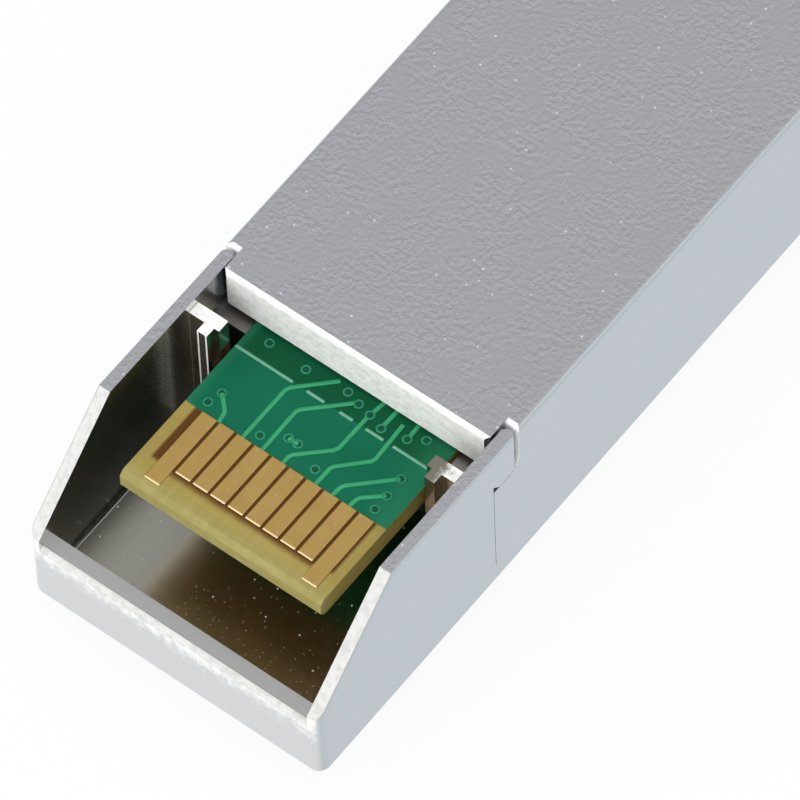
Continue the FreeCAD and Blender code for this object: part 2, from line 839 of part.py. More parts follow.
def make_fibre_receptacle():
    """Nose block with two fibre ports, their latch slots and the holes for the sleeves."""
    body = new_body("fibre_receptacle")
    rear = d.insert_length + d.fit_gap
    sketch = new_sketch(body, "YZ")
    rectangle(sketch, rear, nose_front, -d.nose_drop, receptacle_top)
    pad(body, sketch, receptacle_half * 2, symmetric=True)
    front = edges_where(body, lambda p: near(p.y, nose_front))
    dress(body, "Fillet", front, d.edge_round)
    tail_low = d.cover_thickness + d.fit_gap
    tail_top = least(board_top, receptacle_top - d.fit_gap) - d.fit_gap
    sketch = new_sketch(body, "YZ")
    rectangle(sketch, rear - d.receptacle_tail, rear, tail_low, tail_top)
    pad(body, sketch, (cavity_half - d.fit_gap) * 2, symmetric=True)

    back_wall = d.insert_length + d.port_back
    sketch = new_sketch(body, "XY", port_low)
    for side in (-1, 1):
        x = port_x * side
        rectangle(sketch, x - port_width / 2, x + port_width / 2, back_wall, nose_front + 1)
    pocket(body, sketch, d.port_height, upwards=True)
    # Latch slots: narrow at the mouth, wider behind the catch shoulders.
    sketch = new_sketch(body, "XY", port_low - d.slot_depth)
    catch = nose_front - d.slot_catch
    mouth = port_width / 2 - d.slot_mouth
    room = port_width / 2 - d.slot_wall
    for side in (-1, 1):
        x = port_x * side
        outline(sketch, [
            (x - room, back_wall),
            (x + room, back_wall),
            (x + room, catch),
            (x + mouth, catch),
            (x + mouth, nose_front + 1),
            (x - mouth, nose_front + 1),
            (x - mouth, catch),
            (x - room, catch),
        ])
    pocket(body, sketch, d.slot_depth + d.fit_gap, upwards=True)
    sketch = new_sketch(body, "XZ")
    for side in (-1, 1):
        circle(sketch, port_x * side, port_z, d.sleeve_radius + d.fit_gap)
    pocket(body, sketch)


def make_shield_plate():
    """Stamped plate across the cavity behind the ports, with holes for the sleeves."""
    body = new_body("shield_plate")
    front = d.insert_length - d.receptacle_tail
    half = cavity_half - d.fit_gap
    sketch = new_sketch(body, "XZ", -front)
    rectangle(sketch, -half, half, d.cover_thickness + d.fit_gap, board_top - d.fit_gap)
    for side in (-1, 1):
        circle(sketch, port_x * side, port_z, d.sleeve_radius + d.fit_gap)
    pad(body, sketch, d.shield_thickness)


def make_emi_collar():
    """Stamped spring collar: a band round the body with bowed fingers, open at the latch."""
    body = new_body("emi_collar")
    front = d.insert_length - d.collar_setback
    root = front - d.collar_band
    tip = root - d.finger_length
    gap = d.seam / 3
    skin = gap + d.collar_sheet
    sketch = new_sketch(body, "XZ", -front)
    rectangle(sketch, -half_body - skin, half_body + skin, -skin, d.body_height + skin)
    rectangle(sketch, -half_body - gap, half_body + gap, -gap, d.body_height + gap)
    pad(body, sketch, d.collar_band)
    sketch = new_sketch(body, "XY", d.body_height - d.collar_sheet)
    rectangle(sketch, -d.collar_window, d.collar_window, root - 1, front + 1)
    pocket(body, sketch, d.collar_sheet * 3, upwards=True)

    half_chord = d.finger_length / 2
    bow = (half_chord * half_chord + d.finger_bulge * d.finger_bulge) / (d.finger_bulge * 2)

    label_span = d.body_width - d.finger_width * 2
    sketch = new_sketch(body, "YZ", -label_span / 2 - d.finger_width / 2)
    outline(sketch, [(root, -gap, -bow), (tip, -gap), (tip, -skin, bow), (root, -skin)])
    finger = pad(body, sketch, d.finger_width)
    repeat(body, finger, sketch, LABEL_FINGERS, label_span)

    top = d.body_height
    inner = d.collar_window + d.fit_gap
    for offset in (inner, -inner - d.finger_pitch - d.finger_width):
        sketch = new_sketch(body, "YZ", offset)
        outline(sketch, [
            (root, top + gap, bow),
            (tip, top + gap),
            (tip, top + skin, -bow),
            (root, top + skin),
        ])
        finger = pad(body, sketch, d.finger_width)
        repeat(body, finger, sketch, TOP_FINGERS, d.finger_pitch)

    low = d.body_height / 2 - d.finger_pitch * (SIDE_FINGERS - 1) / 2 - d.finger_width / 2
    for side in (-1, 1):
        near_face = (half_body + gap) * side
        far_face = (half_body + skin) * side
        sketch = new_sketch(body, "XY", low)
        outline(sketch, [
            (near_face, root, bow * -side),
            (near_face, tip),
            (far_face, tip, bow * side),
            (far_face, root),
        ])
        finger = pad(body, sketch, d.finger_width)
        repeat(body, finger, sketch, SIDE_FINGERS, d.finger_pitch * (SIDE_FINGERS - 1))


def make_bail():
    """Bail frame, plastic grip, shaft and the eccentric cam that lifts the rocker."""
    frame = new_body("bail_frame")
    rear = shaft_y - d.arm_half_width
    front = shaft_y + d.arm_half_width
    foot = bar_rear - front
    sketch = new_sketch(frame, "YZ")
    outline(sketch, [
        (rear, shaft_z, -d.arm_half_width),
        (shaft_y, shaft_z + d.arm_half_width, -d.arm_half_width),
        (front, shaft_z),
        (front, bar_top + foot),
        (bar_rear, bar_top),
        (bar_front, bar_top),
        (bar_front, bar_low),
        (front, bar_low),
        (rear, bar_low + d.arm_half_width * 2),
    ])
    pad(frame, sketch, arm_outer * 2, symmetric=True)
    sketch = new_sketch(frame, "XY")
    rectangle(sketch, -arm_inner, arm_inner, rear - 1, bar_front + 1)
    pocket(frame, sketch)
    sketch = new_sketch(frame, "YZ")
    rectangle(sketch, bar_rear, bar_front, bar_low, bar_top)
    pad(frame, sketch, arm_outer * 2, symmetric=True)
    sketch = new_sketch(frame, "YZ")
    circle(sketch, shaft_y, shaft_z, d.shaft_radius)
    pocket(frame, sketch)

    grip = new_body("bail_grip")
    sketch = new_sketch(grip, "YZ")
    grip_low = bar_low - d.grip_wall
    rectangle(sketch, bar_rear - d.grip_wall, bar_front + d.grip_wall, grip_low, bar_top + d.grip_wall)
    rectangle(sketch, bar_rear, bar_front, bar_low, bar_top)
    grip_length = (arm_inner - d.grip_margin) * 2
    pad(grip, sketch, grip_length, symmetric=True)
    outer = [
        name
        for name in edges_where(grip, lambda p: not (bar_rear.value - 0.1 < p.y < bar_front.value + 0.1))
        if grip.Tip.Shape.getElement(name).Length > grip_length.value / 2
    ]
    dress(grip, "Fillet", outer, d.grip_round)

    keep(rod("bail_shaft", shaft_y, shaft_z, d.shaft_radius, arm_outer * 2), "bail_shaft")
    lobe = rod("cam_lobe", shaft_y + cam_drop, shaft_z - cam_drop, d.cam_radius, d.cam_width)
    hole = rod("cam_hole", shaft_y, shaft_z, d.shaft_radius, d.cam_width * 2)
    cut("release_cam", lobe, hole)


def make_latch():
    """Rocker with the latch boss, its pivot pin and the leaf spring under its rear end."""
    rocker = new_body("latch_rocker")
    rear = latch_shoulder - d.rocker_rear
    rear_top = d.body_height - d.rocker_sink
    rear_low = rear_top - d.rocker_thickness
    front_top = rocker_low_front + d.rocker_thickness
    hub = d.pivot_radius + d.pivot_play + d.hub_wall
    rise = front_top - rear_top
    sketch = new_sketch(rocker, "YZ")
    outline(sketch, [
        (rear, rear_low),
        (rear, rear_top),
        (d.insert_length, rear_top),
        (d.insert_length + rise, front_top),
        (nose_front - d.channel_rear, front_top),
        (nose_front - d.channel_rear, rocker_low_front),
        (pivot_y + hub * 2, rocker_low_front),
        (pivot_y + hub, pivot_z, -hub),
        (pivot_y, pivot_z - hub, -hub),
        (pivot_y - hub, pivot_z),
    ])
    pad(rocker, sketch, d.rocker_width, symmetric=True)
    boss_top = d.body_height + d.boss_height
    sketch = new_sketch(rocker, "YZ")
    outline(sketch, [
        (latch_shoulder - d.boss_length, rear_top),
        (latch_shoulder - d.boss_flat, boss_top),
        (latch_shoulder, boss_top),
        (latch_shoulder, rear_top - d.rocker_thickness / 2),
        (latch_shoulder - d.boss_length, rear_top - d.rocker_thickness / 2),
    ])
    pad(rocker, sketch, d.boss_width, symmetric=True)
    sketch = new_sketch(rocker, "YZ")
    circle(sketch, pivot_y, pivot_z, d.pivot_radius + d.pivot_play)
    pocket(rocker, sketch)

    pin_length = nose_width - d.fit_gap * 4
    keep(rod("latch_pin", pivot_y, pivot_z, d.pivot_radius, pin_length), "latch_pin")

    spring = new_body("latch_spring")
    foot_start = d.insert_length - d.channel_rear * 4
    tip_top = rear_low - d.seam / 3
    sketch = new_sketch(spring, "YZ")
    outline(sketch, [
        (d.insert_length, channel_floor),
        (d.insert_length, channel_floor + d.spring_sheet),
        (foot_start, channel_floor + d.spring_sheet),
        (rear + d.channel_rear, tip_top),
        (rear + d.channel_rear, tip_top - d.spring_sheet),
        (foot_start, channel_floor),
    ])
    pad(spring, sketch, d.spring_width, symmetric=True)


make_skirt_cover()
make_main_housing()
make_cover_screw()
make_circuit_board()
make_contacts("contacts_latch_side", board_top, d.contact_shift)
make_contacts("contacts_label_side", board_low - d.contact_height, -d.contact_shift)
make_board_parts()
make_optics("transmit", -1)
make_optics("receive", 1)
make_fibre_receptacle()
make_shield_plate()
make_emi_collar()
make_bail()
make_latch()
doc.recompute()

for item in doc.Objects:
    if "Invalid" in item.State or "Error" in item.State:
        raise RuntimeError(item.Name + " did not build")
for item in sub_parts:
    if item.Shape.isNull() or not item.Shape.isValid():
        raise RuntimeError(item.Label + " has no valid shape")

os.makedirs("parts", exist_ok=True)
for item in sub_parts:
    item.Shape.exportStep("parts/" + item.Label + ".step")
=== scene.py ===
"""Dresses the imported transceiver: finishes for every node, copper on the board, studio and camera."""

import json
import math

import bpy
from mathutils import Matrix, Vector


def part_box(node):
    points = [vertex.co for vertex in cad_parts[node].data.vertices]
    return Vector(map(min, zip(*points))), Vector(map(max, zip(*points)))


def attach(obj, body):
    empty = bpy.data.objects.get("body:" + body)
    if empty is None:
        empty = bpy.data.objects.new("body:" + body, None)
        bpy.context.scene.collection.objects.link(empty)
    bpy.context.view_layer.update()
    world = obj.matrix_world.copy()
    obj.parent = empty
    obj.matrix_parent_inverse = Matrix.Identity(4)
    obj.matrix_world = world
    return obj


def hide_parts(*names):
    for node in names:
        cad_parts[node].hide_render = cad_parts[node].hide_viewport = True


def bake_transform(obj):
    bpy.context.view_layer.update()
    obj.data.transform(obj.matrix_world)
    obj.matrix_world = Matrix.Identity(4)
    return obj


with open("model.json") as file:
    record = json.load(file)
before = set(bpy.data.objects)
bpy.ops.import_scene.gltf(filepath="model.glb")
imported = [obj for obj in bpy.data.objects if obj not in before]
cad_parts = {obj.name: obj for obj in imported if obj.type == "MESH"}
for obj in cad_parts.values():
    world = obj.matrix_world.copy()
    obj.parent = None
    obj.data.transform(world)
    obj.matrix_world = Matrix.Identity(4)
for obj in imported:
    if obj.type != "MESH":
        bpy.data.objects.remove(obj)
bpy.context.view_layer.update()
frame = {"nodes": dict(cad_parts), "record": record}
nodes = frame["nodes"]

MM = 0.001
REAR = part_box("skirt_cover")[0].y
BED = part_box("skirt_cover")[0].z
START = {"X": 0.0, "Y": REAR, "Z": BED}
BOARD_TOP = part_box("circuit_board")[1].z
HALF_BOARD = 0.0005
TRACE_BEND = 0.00025

# Places on the board, in millimetres from the rear end.
CARD_FRONT = (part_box("circuit_board")[0].y - REAR) / MM
LONG_FRONT = (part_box("contacts_latch_side")[0].y - REAR) / MM
SHORT_FRONT = LONG_FRONT + 0.8
MASK_START = 6.74
MASK_SHADE = 9.7

# Contacts, in millimetres across: how far the two rows are shifted, and where the end ones lie.
ROW_SHIFT = 0.15
OUTERMOST = 3.2

# Faces of the casting, in millimetres: levels above the bed, places from the rear end, reach to
# either side of the middle.
PLATE_LEVEL = 8.4
SKIRT_FLOOR_LEVEL = 1.5
SKIRT_END = 10.6
SKIRT_REACH = 6.25
LIP_FACE = 0.3
LIP_BACK = 0.7
SLOPE_END = 8.0
TONGUE_ALONG = (10.7, 14.0)
TONGUE_LEVEL = 6.55
POST_ACROSS = (4.6, 6.13)
POST_ALONG = (8.3, 10.0)
POST_TOP_LEVEL = 2.0
STEM_MIDDLE = 5.2
STEM_HALF = 0.15
STEM_END = 8.8
LEDGE_REACH = 6.13
LEDGE_ALONG = (10.2, 11.6)
LEDGE_LEVELS = (4.0, 7.5)

# A face looks along an axis where that part of its normal is over this.
FACING = 0.7

# Orange peel: its noise, the shift in metres that sets apart the lit and shaded sides of its painted
# relief shading, its depth in metres.
PEEL = {"scale": 4800.0, "detail": 2.0, "rough": 0.6}
PEEL_SHADE_SHIFT = (-0.00004, 0.00005, 0.0)
PEEL_DEPTH = 0.00004

TINNED = (0.62, 0.62, 0.60)
WHITE = (1.0, 1.0, 1.0, 1.0)


def at(x, y, z=0.0):
    """A point given in millimetres across, from the rear end and above the resting face."""
    return Vector((x * MM, REAR + y * MM, BED + z * MM))


SUBJECT = at(0.0, 8.0, 4.0)


class Value:
    """An output socket of a material. Arithmetic on it adds Math nodes."""

    def __init__(self, finish, socket):
        self.finish = finish
        self.socket = socket

    def math(self, operation, first, second=0.0):
        return self.finish.node("Math", {"operation": operation}, {0: first, 1: second})

    def __add__(self, other):
        return self.math("ADD", self, other)

    def __sub__(self, other):
        return self.math("SUBTRACT", self, other)

    def __rsub__(self, other):
        return self.math("SUBTRACT", other, self)

    def __mul__(self, other):
        return self.math("MULTIPLY", self, other)

    def __gt__(self, other):
        return self.math("GREATER_THAN", self, other)

    def __lt__(self, other):
        return self.math("LESS_THAN", self, other)

    __radd__ = __add__
    __rmul__ = __mul__

    def unsigned(self):
        """The value without its sign."""
        return self.math("ABSOLUTE", self)

    def wave(self):
        """The sine of the value."""
        return self.math("SINE", self)

    def at_most(self, limit):
        return self.math("MINIMUM", self, limit)

    def within(self, low, high):
        """1 between the limits and 0 elsewhere."""
        return (self > low) * (self < high)

    def swing(self, reach):
        """A value of 0 to 1 as a swing about 0, of half the reach to either side."""
        return (self - 0.5) * reach


class Finish:
    """A node material that is built socket by socket."""

    def __init__(self, owner):
        owner.use_nodes = True
        self.owner = owner
        self.tree = owner.node_tree
        self.tree.nodes.clear()

    def node(self, kind, settings=None, sockets=None, output=0):
        """Adds a node: its settings first, then the values or links of its sockets."""
        made = self.tree.nodes.new("ShaderNode" + kind)
        for name, setting in (settings or {}).items():
            setattr(made, name, setting)
        for name, value in (sockets or {}).items():
            socket = self.pick(made.inputs, name)
            if isinstance(value, Value):
                self.tree.links.new(value.socket, socket)
            else:
                socket.default_value = value
        return Value(self, self.pick(made.outputs, output)) if made.outputs else None

    @staticmethod
    def pick(sockets, name):
        if isinstance(name, int):
            return sockets[name]
        return next(socket for socket in sockets if socket.name == name and socket.enabled)

    def place(self):
        return self.node("TexCoord", output="Object")

    def axis(self, name, vector=None):
        return self.node("SeparateXYZ", None, {0: vector or self.place()}, name)

    def millimetres(self, name):
        """Where a surface point lies: X across, Y from the rear end, Z above the resting face."""
        return (self.axis(name) - START[name]) * (1.0 / MM)

    def facing(self, name):
        """One part of the surface's normal."""
        return self.axis(name, self.node("TexCoord", output="Normal"))

    def noise(self, scale, detail=2.0, rough=0.5, stretch=(1.0, 1.0, 1.0), shift=(0.0, 0.0, 0.0)):
        """Noise over the surface; scale counts its waves in a metre, and shift moves it, in metres."""
        spot = self.node("Mapping", None, {"Vector": self.place(), "Scale": stretch, "Location": shift})
        sockets = {"Vector": spot, "Scale": scale, "Detail": detail, "Roughness": rough}
        return self.node("TexNoise", None, sockets, "Fac")

    def ramp(self, value, low, high, start=0.0, stop=1.0):
        """Carries a value from low..high to start..stop along a smooth step."""
        sockets = {"Value": value, "From Min": low, "From Max": high, "To Min": start, "To Max": stop}
        return self.node("MapRange", {"interpolation_type": "SMOOTHSTEP"}, sockets)

    def mix(self, share, first, second):
        """Mixes two colours; share is a number or a value."""
        first, second = (c if isinstance(c, Value) else (*c, 1.0) for c in (first, second))
        sockets = {"Factor": share, "A": first, "B": second}
        return self.node("Mix", {"data_type": "RGBA", "blend_type": "MIX"}, sockets, "Result")

    def bump(self, height, depth):
        """A bump of the given depth in metres."""
        return self.node("Bump", None, {"Strength": 1.0, "Distance": depth, "Height": height})

    def specks(self, scale, size, share):
        """Tiny round specks: 1 inside, on a share of the cells."""
        sockets = {"Vector": self.place(), "Scale": scale, "Randomness": 1.0}
        near = self.node("TexVoronoi", None, sockets, "Distance")
        cell = self.axis("X", self.node("TexVoronoi", None, sockets, "Color"))
        return (near < size) * (cell < share)

    def coat(self, **sockets):
        """Closes the material with one surface shader."""
        named = {name.replace("_", " "): value for name, value in sockets.items()}
        return self.close("OutputMaterial", self.node("BsdfPrincipled", None, named))

    def close(self, output, surface):
        self.node(output, None, {"Surface": surface})
        return self.owner


def new_finish(name):
    return Finish(bpy.data.materials.new(name))


class CastingFaces:
    """Masks of the casting's faces: 1 on the face that a mask is named for, 0 elsewhere."""

    def __init__(self, f, crust):
        x, y, z = (f.millimetres(axis) for axis in "XYZ")
        across, along, rise = (f.facing(axis) for axis in "XYZ")
        away = x.unsigned()
        upward = f.ramp(rise, 0.8, 0.97)
        rearward = f.ramp(along, -0.7, -0.9)
        slant = f.ramp((rise - along) * 0.707, 0.74, 0.83)
        in_skirt = (y < SKIRT_END) * (away < SKIRT_REACH)
        at_posts = away.within(*POST_ACROSS) * y.within(*POST_ALONG)

        self.x = x
        self.y = y
        self.along = along
        self.upward = upward
        self.plate = upward * (z > PLATE_LEVEL)
        self.skirt_floor = upward * (z < SKIRT_FLOOR_LEVEL) * (y > LIP_BACK) * in_skirt
        self.skirt_side = (across.unsigned() > FACING) * in_skirt
        self.slope = slant * (y < SLOPE_END)
        self.post_top = upward * at_posts * (z > POST_TOP_LEVEL)
        self.post_side = at_posts * (1.0 - upward)
        self.ledge = upward * (away < LEDGE_REACH) * y.within(*LEDGE_ALONG) * z.within(*LEDGE_LEVELS)
        self.inside = (self.skirt_floor + self.skirt_side + self.post_side).at_most(1.0)

        # Painted light on unplated metal: faces turned to the rear, the slopes, the tongue's end and the
        # posts' tops are painted almost white as lit by the lamp behind; a band on the lip's rounded
        # edge and the left stem's edges are painted highlights.
        tongue = rearward * y.within(*TONGUE_ALONG) * (z > TONGUE_LEVEL)
        beside_stem = (away - STEM_MIDDLE).unsigned() > STEM_HALF
        stem_highlight = rearward * at_posts * (y < STEM_END) * beside_stem * (x < 0.0)
        lip_highlight = rearward * (y < LIP_FACE) * f.ramp(z + crust.swing(2.0), 2.35, 3.5) * 0.8
        # The right post's top is painted dark as shade, except beside the wall.
        post_top_lit = ((x < 0.0) + f.ramp(away + crust.swing(1.2), 5.2, 5.8)).at_most(1.0)
        self.raw_and_lit = (slant + tongue + self.post_top * post_top_lit + stem_highlight + lip_highlight).at_most(1.0)


def plate_painted_relief(f, peel):
    """Orange peel as painted relief shading: one side of each dimple is painted lighter than the other,
    as if lit from one side, more so in patches.
    """
    painted_flank = f.ramp(peel - f.noise(**PEEL, shift=PEEL_SHADE_SHIFT), -0.16, 0.16)
    strength = f.ramp(f.noise(900.0), 0.35, 0.6, 0.45, 1.15)
    relief = 0.5 + painted_flank.swing(strength)
    return f.mix(relief, (0.310, 0.314, 0.335), (0.426, 0.435, 0.464))


def skirt_floor_reflection(f, on):
    """Painted reflection on the smooth skirt floor: grey on the left, tan under the board where its
    underside is mirrored, and dark brown by the lip where the board's shaded underside is mirrored.
    """
    board_reflection = f.mix(f.ramp(on.x, -3.5, -1.7), (0.29, 0.286, 0.27), (0.92, 0.77, 0.51))
    shaded_reflection_by_lip = f.ramp(on.y, 2.8, 1.0) * f.ramp(on.x, -2.0, 1.0)
    return f.mix(shaded_reflection_by_lip * 0.85, board_reflection, (0.30, 0.22, 0.11))


def raw_lit_tone(f, on, crust):
    """Painted light: almost white where the lamp behind falls, with painted shade on the slopes that run
    down to the lip.
    """
    patch = f.ramp(crust, 0.35, 0.6)
    pale = f.mix(patch, (0.80, 0.80, 0.79), (0.92, 0.92, 0.91))
    slope_shade = f.mix(patch, (0.58, 0.58, 0.565), (0.68, 0.68, 0.665))
    return f.mix(on.slope, pale, slope_shade)


def cast_nickel():
    """Satin nickel on die-cast zinc.

    The flats have orange peel, as a bump and as painted relief shading, and painted glints; the skirt is
    smooth inside, with a painted reflection on its floor and painted shade on its posts; the faces and
    edges that face the rear are unplated and painted almost white, as lit by the lamp behind.
    """
    f = new_finish("nickel_plate")
    mottle = f.noise(420.0, detail=3.0)
    peel = f.noise(**PEEL)
    crust = f.noise(3400.0, detail=3.0, rough=0.65)
    on = CastingFaces(f, crust)
    # Painted glints: small white specks on the plate, and on the skirt floor specks with little metal,
    # stand in for sparkles of light.
    painted_sparkle = f.specks(1500.0, 0.075, 0.7) + f.specks(2900.0, 0.09, 0.4) * 0.5
    glint = (f.specks(2300.0, 0.085, 0.5) + f.specks(5200.0, 0.11, 0.3) * 0.5) * on.skirt_floor
    # Painted golden glints on the skirt floor under the board.
    under_board = f.ramp(on.x, -3.4, -1.6) * f.ramp(on.y, 5.5, 2.0)
    gold_glint = f.specks(6500.0, 0.19, 0.35) * on.skirt_floor * under_board

    # Painted light and shade by facing: the sides are painted lighter and bluish, the faces turned to
    # the rear lighter still, as the lamp behind lights them, and the upward faces darker.
    side = f.mix(mottle, (0.465, 0.51, 0.55), (0.50, 0.545, 0.585))
    side = f.mix(f.ramp(on.along, -0.5, -0.9), side, (0.66, 0.67, 0.68))
    face = f.mix(mottle, (0.410, 0.410, 0.420), (0.440, 0.440, 0.450))
    base = f.mix(on.upward, side, face)
    for share, tone in (
        # Painted relief shading of the orange peel on the plate.
        (on.plate * 0.9, plate_painted_relief(f, peel)),
        (on.skirt_side, (0.72, 0.73, 0.68)),
        # Painted shade: the posts' sides darker than the same nickel elsewhere.
        (on.post_side, (0.34, 0.31, 0.28)),
        (on.ledge, (0.30, 0.275, 0.25)),
        # Painted shade: the posts' tops nearly black; on the left post and beside the wall the painted
        # light further down covers it.
        (on.post_top, (0.20, 0.19, 0.15)),
        # Painted reflection of the board's underside on the skirt floor.
        (on.skirt_floor, skirt_floor_reflection(f, on)),
        # Painted glints on the plate and the skirt floor.
        (painted_sparkle * on.plate * 0.45 + glint * 0.7, (1.0, 0.98, 0.94)),
        # Painted golden glints.
        (gold_glint * 0.8, (0.85, 0.66, 0.36)),
        # Painted light and painted highlights on the unplated rear-facing faces and edges.
        (on.raw_and_lit, raw_lit_tone(f, on, crust)),
    ):
        base = f.mix(share, base, tone)

    outside = 0.24 + 0.06 * mottle + 0.14 * on.upward
    height = peel * (0.06 + 0.94 * on.plate) * (1.0 - 0.7 * on.inside) + crust * on.raw_and_lit * 1.2
    return f.coat(
        Base_Color=base,
        Metallic=1.0 - 0.95 * (on.raw_and_lit + glint + 0.4 * gold_glint).at_most(1.0),
        Roughness=outside * (1.0 - on.inside) + 0.22 * on.inside + 0.35 * on.raw_and_lit,
        Specular_IOR_Level=0.2,
        Normal=f.bump(height, PEEL_DEPTH),
    )


def brushed_steel(name, tone, along, rough):
    """Plain steel with fine drawing lines along one axis."""
    f = new_finish(name)
    stretch = tuple(0.04 if axis == along else 1.0 for axis in "XYZ")
    lines = f.noise(9000.0, rough=0.6, stretch=stretch)
    base = f.mix(f.noise(500.0), tuple(0.9 * c for c in tone), tone)
    normal = f.bump(lines, 0.000004)
    return f.coat(Base_Color=base, Metallic=1.0, Roughness=rough + 0.18 * lines, Normal=normal)


def bare_laminate(f, x, y, waver, weave):
    """Bare glass-fibre laminate; painted dark brown shade between the contacts and a painted shadow just
    in front of them.
    """
    grain = f.ramp(weave, 0.7, 1.3)
    edge = f.mix(grain, (0.31, 0.27, 0.092), (0.36, 0.315, 0.118))
    flat = f.mix(grain, (0.315, 0.242, 0.066), (0.355, 0.277, 0.080))
    bare = f.mix(f.ramp(y, CARD_FRONT + 0.1, CARD_FRONT + 0.9), edge, flat)
    # Painted shade between the contacts and painted shadow in front of their ends.
    in_row = f.ramp(y + waver, 4.05, 4.3) * (y < 6.85)
    in_span = f.ramp(x, -4.2, -4.04) * f.ramp(x, 4.3, 4.1)
    shadow_ahead = f.ramp(y + waver, SHORT_FRONT - 0.36, SHORT_FRONT - 0.04)
    shadow_ahead = shadow_ahead * f.ramp(x, -3.3, -3.0) * f.ramp(x, 3.5, 3.3)
    laminate_shade = (in_row * in_span * 0.95 + shadow_ahead * 0.85).at_most(0.95)
    return f.mix(laminate_shade, bare, (0.085, 0.028, 0.004))


def green_mask(f, x, y, waver, cloud):
    """Solder mask, darker behind the pale line and lighter towards the board's sides."""
    mask = f.mix(cloud, (0.001, 0.108, 0.053), (0.004, 0.140, 0.073))
    shade = f.mix(cloud, (0.001, 0.065, 0.025), (0.001, 0.087, 0.036))
    mask = f.mix(f.ramp(y + waver * 2.0, MASK_SHADE, MASK_SHADE + 0.1), mask, shade)
    rim = f.ramp(x, 3.0, 4.6) + f.ramp(x, -4.1, -4.6)
    return f.mix(rim * 0.55, mask, (0.02, 0.20, 0.10))


def green_board():
    """Glass-fibre board: bare laminate at the card edge, green mask behind the contacts."""
    f = new_finish("green_board")
    x = f.millimetres("X")
    y = f.millimetres("Y")
    waver = f.noise(1800.0).swing(0.06)
    cloud = f.noise(500.0, detail=3.0)
    warp, weft = (f.noise(2600.0, 1.0, stretch=way) for way in ((1.0, 0.12, 1.0), (0.12, 1.0, 1.0)))
    weave = warp + weft
    covered = f.ramp(y + waver, MASK_START, MASK_START + 0.1)
    level = f.facing("Z").unsigned() > FACING
    laminate = bare_laminate(f, x, y, waver, weave)
    return f.coat(
        Base_Color=f.mix(covered * level, laminate, green_mask(f, x, y, waver, cloud)),
        Roughness=0.55 - 0.05 * covered + 0.1 * cloud,
        Specular_IOR_Level=0.1,
        Normal=f.bump(weave * (1.0 - 0.7 * covered), 0.000006),
    )


def mask_over_copper(name, low, high):
    """Green mask where copper lies under it."""
    f = new_finish(name)
    cloud = f.noise(900.0)
    base = f.mix(cloud, low, high)
    return f.coat(Base_Color=base, Roughness=0.4 + 0.1 * cloud, Specular_IOR_Level=0.15)


def gold_plate():
    """Contact gold with fine wiping scratches along the way of insertion.

    The rolled ends towards the plug carry a painted highlight; the outermost contacts end further
    forward.
    """
    f = new_finish("gold_plate")
    wipe = f.noise(16000.0, rough=0.6, stretch=(1.0, 0.03, 1.0))
    base = f.mix(f.noise(1300.0), (0.40, 0.252, 0.076), (0.48, 0.326, 0.113))
    dust = f.specks(4000.0, 0.14, 0.2)
    base = f.mix(dust * 0.3, base, (0.8, 0.66, 0.38))
    upper_row = f.axis("Z") > BOARD_TOP - HALF_BOARD
    row_shift = upper_row * (2 * ROW_SHIFT) - ROW_SHIFT
    outermost = (f.millimetres("X") - row_shift).unsigned() > OUTERMOST
    behind_end = f.millimetres("Y") - SHORT_FRONT + outermost * (SHORT_FRONT - LONG_FRONT)
    # Painted highlight on the contacts' ends towards the plug.
    rolled = f.ramp(f.facing("Y"), -0.2, -0.6) + f.ramp(behind_end, 0.075, 0.05)
    base = f.mix(rolled.at_most(1.0), base, (0.92, 0.74, 0.42))
    rough = 0.30 + 0.15 * wipe
    return f.coat(Base_Color=base, Metallic=1.0, Roughness=rough, Normal=f.bump(wipe, 0.000003))


def moulded_resin(name, tone, grain):
    """Black moulding with a fine grain."""
    f = new_finish(name)
    speck = f.noise(grain, rough=0.6)
    base = f.mix(f.noise(300.0), tone, tuple(1.5 * c for c in tone))
    return f.coat(Base_Color=base, Roughness=0.48 + 0.2 * speck, Normal=f.bump(speck, 0.00001))


def passive(name, node, low_tone, high_tone):
    """Small passives: a body of ceramic or film between two tinned ends."""
    f = new_finish(name)
    cloud = f.noise(1500.0)
    low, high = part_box(node)
    middle = (low.x + high.x) / 2 / MM
    quarter = (high.x - low.x) / 4 / MM
    tinned = (f.millimetres("X") - middle).unsigned() > quarter
    base = f.mix(tinned, f.mix(cloud, low_tone, high_tone), TINNED)
    return f.coat(Base_Color=base, Metallic=tinned * 0.9, Roughness=0.35 + 0.15 * cloud)


def soft_pad():
    """Grey-blue silicone, slightly uneven."""
    f = new_finish("soft_pad")
    cloud = f.noise(900.0, detail=3.0)
    base = f.mix(cloud, (0.22, 0.26, 0.32), (0.30, 0.34, 0.40))
    return f.coat(Base_Color=base, Roughness=0.7 + 0.2 * cloud, Normal=f.bump(cloud, 0.00003))


def white_ceramic():
    """Polished ferrule ceramic."""
    f = new_finish("white_ceramic")
    cloud = f.noise(800.0)
    base = f.mix(cloud, (0.72, 0.71, 0.67), (0.82, 0.81, 0.78))
    return f.coat(Base_Color=base, Roughness=0.12 + 0.1 * cloud)


def amber_film():
    """Polyimide film with copper lines showing through."""
    f = new_finish("amber_film")
    radians_per_mm = 9.0
    lines = (f.millimetres("X") * radians_per_mm).wave() > 0.35
    cloud = f.noise(700.0)
    base = f.mix(cloud, (0.32, 0.125, 0.02), (0.42, 0.18, 0.035))
    base = f.mix(lines * 0.6, base, (0.55, 0.28, 0.08))
    return f.coat(Base_Color=base, Roughness=0.28 + 0.15 * cloud)


